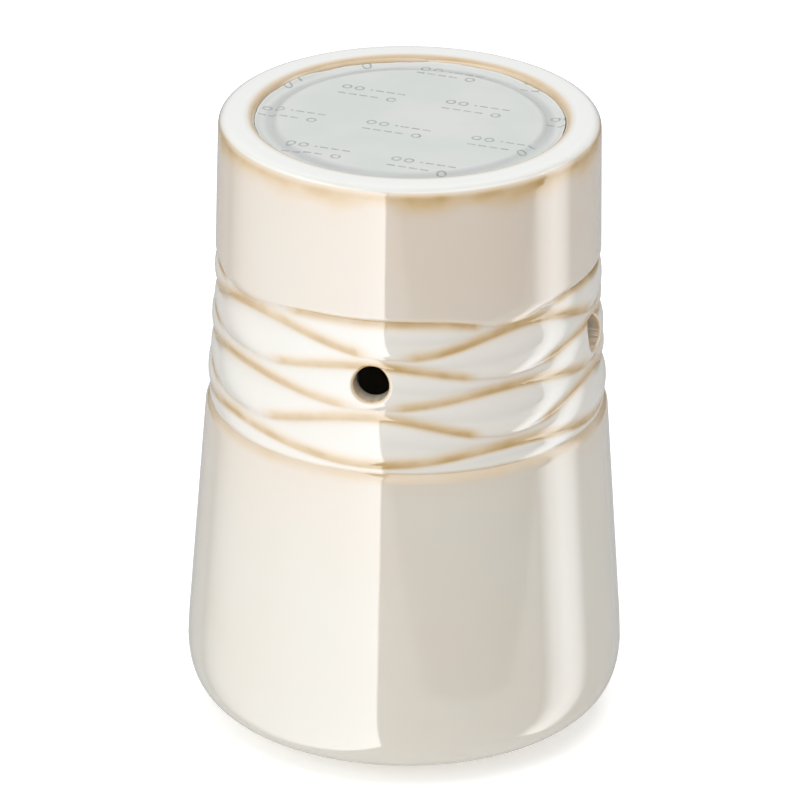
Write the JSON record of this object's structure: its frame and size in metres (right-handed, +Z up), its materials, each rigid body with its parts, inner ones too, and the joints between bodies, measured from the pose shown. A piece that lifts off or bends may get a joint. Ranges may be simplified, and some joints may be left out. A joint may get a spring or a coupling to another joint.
{
  "type": "electric plate warmer",
  "caption": "Electric fragrance warmer with a glazed stoneware body, wave-carved vented band, film-covered heating plate in the rim, heater pack inside and a rear rocker switch.",
  "frame": {"origin": "centre of the footprint, on the surface that the feet rest on", "axes": "+Z up through the middle of the heating plate, -Y towards the front vent, +Y towards the rear switch and cord gland"},
  "size_m": [0.1, 0.1, 0.1456],
  "materials": {
    "glazed_stoneware": "glossy cream lustre glaze that breaks tan in the creases",
    "plate_aluminium": "satin pressed aluminium",
    "protective_film": "thin milky peel-off film",
    "seal_rubber": "black silicone rubber",
    "zinc_plated_steel": "bright zinc plate",
    "pressed_steel": "plain pressed sheet",
    "mica": "pressed mica board",
    "resistance_ribbon": "oxidised resistance ribbon",
    "fibre_pad": "white ceramic-fibre felt",
    "fuse_case": "plated fuse case and wires",
    "glass_sleeve": "varnished glass-fibre sleeving",
    "feed_lead": "brown silicone insulation",
    "terminal_nylon": "natural nylon",
    "terminal_brass": "plain brass",
    "base_plastic": "fine-textured black plastic",
    "gland_nylon": "black nylon",
    "switch_plastic": "satin black plastic",
    "spring_steel": "music wire"
  },
  "bodies": {
    "warmer": {"ceramic_body": "glazed_stoneware", "heating_plate": "plate_aluminium", "plate_film": "protective_film", "plate_seal_ring": "seal_rubber", "plate_studs": "zinc_plated_steel", "upper_mica_sheet": "mica", "mica_former": "mica", "resistance_winding": "resistance_ribbon", "lower_mica_sheet": "mica", "insulation_pad": "fibre_pad", "heater_cover": "pressed_steel", "stud_spacers": "zinc_plated_steel", "tie_bracket": "pressed_steel", "stud_washers": "zinc_plated_steel", "stud_nuts": "zinc_plated_steel", "tie_rods": "zinc_plated_steel", "tie_rod_nuts": "zinc_plated_steel", "tie_rod_washers": "zinc_plated_steel", "thermal_fuse": "fuse_case", "fuse_sleeve": "glass_sleeve", "fuse_clip": "pressed_steel", "fuse_clip_screw": "zinc_plated_steel", "fuse_supply_lead": "glass_sleeve", "element_live_lead": "glass_sleeve", "element_neutral_lead": "glass_sleeve", "switch_feed_lead": "feed_lead", "terminal_block": "terminal_nylon", "terminal_screws": "terminal_brass", "terminal_block_screw": "zinc_plated_steel", "base_cover": "base_plastic", "base_gasket": "seal_rubber", "rubber_feet": "seal_rubber", "base_feet_screws": "zinc_plated_steel", "cord_gland": "gland_nylon", "cord_clamp": "base_plastic", "cord_clamp_screws": "zinc_plated_steel", "switch_housing": "switch_plastic", "switch_terminals": "terminal_brass", "lead_connectors": "terminal_nylon"},
    "rocker": {"switch_rocker": "switch_plastic", "switch_plunger": "terminal_nylon", "switch_spring": "spring_steel"},
    "contact_arm": {"switch_contact_blade": "terminal_brass"}
  },
  "joints": [
    {"name": "rocker_hinge", "type": "hinge", "parent": "warmer", "child": "rocker", "pos_m": [0, 0.0426, 0.035], "axis": [1, 0, 0], "range_deg": [0, 18]},
    {"name": "contact_hinge", "type": "hinge", "parent": "warmer", "child": "contact_arm", "pos_m": [0, 0.0324, 0.035], "axis": [1, 0, 0], "range_deg": [-12, 0]}
  ],
  "couplings": [
    {"joint": "contact_hinge", "follows": "rocker_hinge", "ratio": -0.66667}
  ]
}
